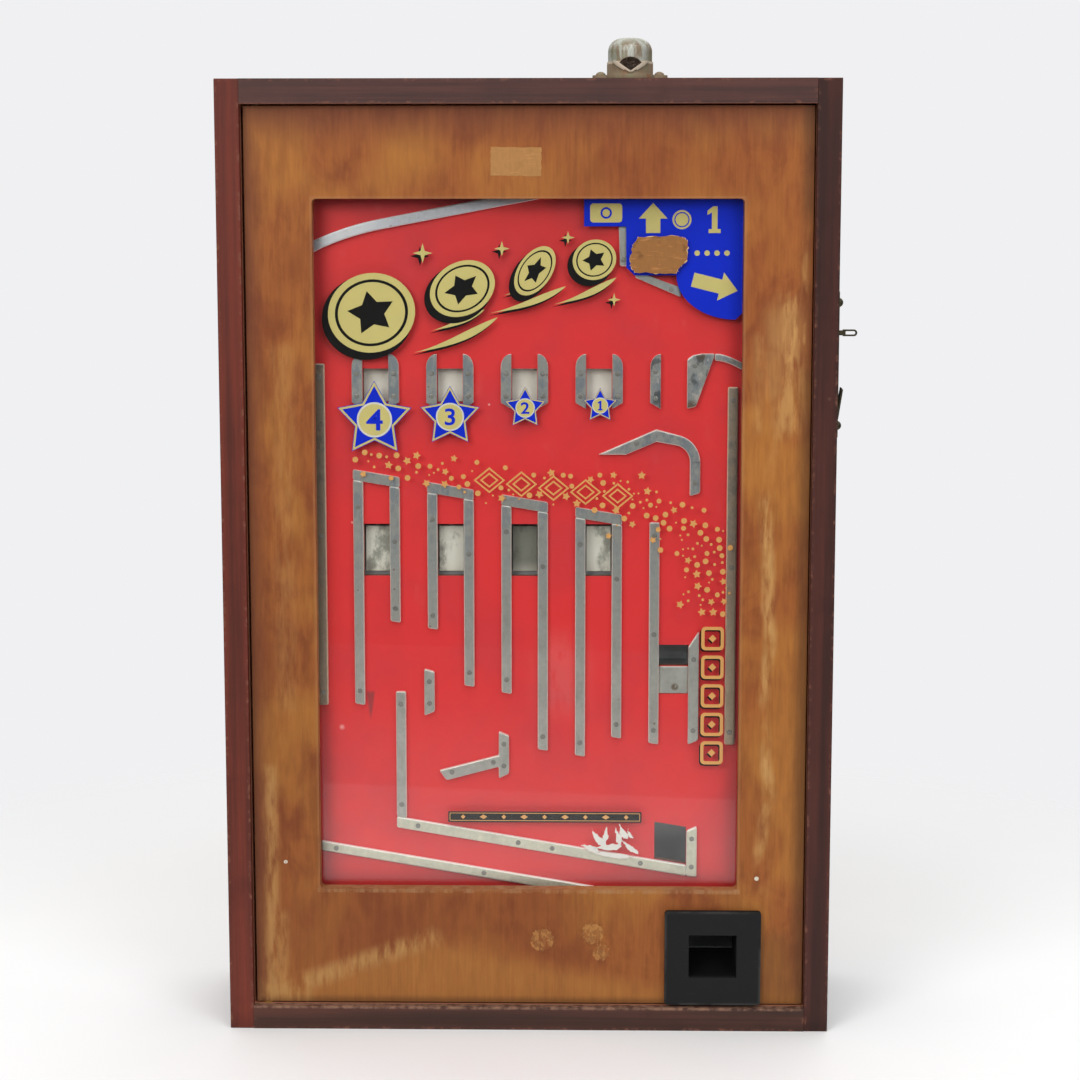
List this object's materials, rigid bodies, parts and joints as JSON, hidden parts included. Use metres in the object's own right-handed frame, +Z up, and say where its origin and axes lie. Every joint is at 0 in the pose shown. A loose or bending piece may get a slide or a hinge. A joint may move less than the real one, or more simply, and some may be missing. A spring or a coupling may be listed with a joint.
{
  "type": "penny arcade machine",
  "caption": "Upright wall-hung penny arcade machine: glazed wooden door, coin flick lever at the side, coin hood on top, railed playfield with win cups and payout cup.",
  "frame": {"origin": "middle of the cabinet underside, at half of its width and depth", "axes": "+Z up, the door faces -Y, +X to the right seen from the front"},
  "size_m": [0.579, 0.178, 0.913],
  "materials": {
    "cabinet_wood": "dark stained board, old varnish, worn",
    "door_wood": "varnished oak, worn pale at the edges",
    "plywood": "bare plywood and softwood",
    "field_paint": "board with red gloss paint",
    "rail_metal": "dull aluminium strip",
    "steel": "plated steel, dulled",
    "nickel": "worn nickel plate with brown tarnish",
    "brass": "dull brass",
    "rocker_paint": "cream paint",
    "glass": "clear sheet with prints on its back",
    "black_plastic": "black moulding, scuffed"
  },
  "bodies": {
    "cabinet": {"left_side": "cabinet_wood", "right_side": "cabinet_wood", "top_board": "cabinet_wood", "bottom_board": "cabinet_wood", "back_panel": "plywood", "back_battens": "plywood", "back_screws": "steel", "field_ledgers": "plywood", "field_screws": "steel", "playfield": "field_paint", "side_rails": "rail_metal", "top_arch_rail": "rail_metal", "win_cup_rails": "rail_metal", "launch_wedge": "rail_metal", "launch_track": "rail_metal", "entry_rails": "rail_metal", "roof_deflector": "rail_metal", "column_roofs": "rail_metal", "column_rails": "rail_metal", "bonus_plate": "rail_metal", "guide_rails": "rail_metal", "payout_rail": "rail_metal", "payout_stop": "rail_metal", "cash_rail": "rail_metal", "rail_screws": "steel", "coin_hoppers": "steel", "rocker_shaft": "steel", "shaft_brackets": "steel", "rocker_spacers": "brass", "bonus_pocket": "steel", "payout_chute": "steel", "cash_box": "steel", "coin_chute": "steel", "flap_pivot": "steel", "hood_cup": "nickel", "hood_screws": "nickel", "hood_spring": "steel", "side_plate": "steel", "plate_screws": "steel", "lever_pivot": "steel", "lever_spring": "steel", "spring_seat": "steel", "lock_barrel": "brass", "lock_nut": "steel", "door_pivots": "steel", "pivot_washer": "brass"},
    "door": {"door_panel": "door_wood", "window_glass": "glass", "glass_beads": "door_wood", "payout_cup": "black_plastic", "door_strike": "steel"},
    "lever": {"flick_lever": "steel"},
    "cap": {"hood_cap": "nickel", "push_rod": "steel"},
    "flap": {"reject_flap": "steel"},
    "rocker_1": {"win_rocker_1": "rocker_paint"},
    "rocker_2": {"win_rocker_2": "rocker_paint"},
    "rocker_3": {"win_rocker_3": "rocker_paint"},
    "rocker_4": {"win_rocker_4": "rocker_paint"},
    "hook": {"lock_hook": "steel"}
  },
  "joints": [
    {"name": "door_hinge", "type": "hinge", "parent": "cabinet", "child": "door", "pos_m": [-0.245, -0.0745, 0.438], "axis": [0, 0, -1], "range_deg": [0, 100]},
    {"name": "flick_hinge", "type": "hinge", "parent": "cabinet", "child": "lever", "pos_m": [0.236, -0.0589, 0.65], "axis": [0, 1, 0], "range_deg": [0, 40], "stiffness_Nm_per_rad": 0.12, "springref_deg": -34.38, "deforming": ["lever_spring"]},
    {"name": "reject_slide", "type": "slide", "parent": "cabinet", "child": "cap", "axis": [0, 0, -1], "range_m": [0, 0.004], "stiffness_N_per_m": 400, "springref_m": -0.008, "deforming": ["hood_spring"]},
    {"name": "flap_hinge", "type": "hinge", "parent": "cabinet", "child": "flap", "pos_m": [0.0885, -0.058, 0.792], "axis": [0, -1, 0], "range_deg": [0, 23]},
    {"name": "lock_turn", "type": "hinge", "parent": "cabinet", "child": "hook", "pos_m": [0.2475, -0.027, 0.08], "axis": [-1, 0, 0], "range_deg": [0, 90]},
    {"name": "rocker_1_hinge", "type": "hinge", "parent": "cabinet", "child": "rocker_1", "pos_m": [-0.1405, -0.027, 0.52], "axis": [-1, 0, 0], "range_deg": [0, 6]},
    {"name": "rocker_2_hinge", "type": "hinge", "parent": "cabinet", "child": "rocker_2", "pos_m": [-0.0721, -0.027, 0.52], "axis": [-1, 0, 0], "range_deg": [0, 6]},
    {"name": "rocker_3_hinge", "type": "hinge", "parent": "cabinet", "child": "rocker_3", "pos_m": [-0.0037, -0.027, 0.52], "axis": [-1, 0, 0], "range_deg": [0, 6]},
    {"name": "rocker_4_hinge", "type": "hinge", "parent": "cabinet", "child": "rocker_4", "pos_m": [0.0647, -0.027, 0.52], "axis": [-1, 0, 0], "range_deg": [0, 6]}
  ],
  "couplings": [
    {"joint": "flap_hinge", "follows": "reject_slide", "rad_per_m": 100}
  ]
}
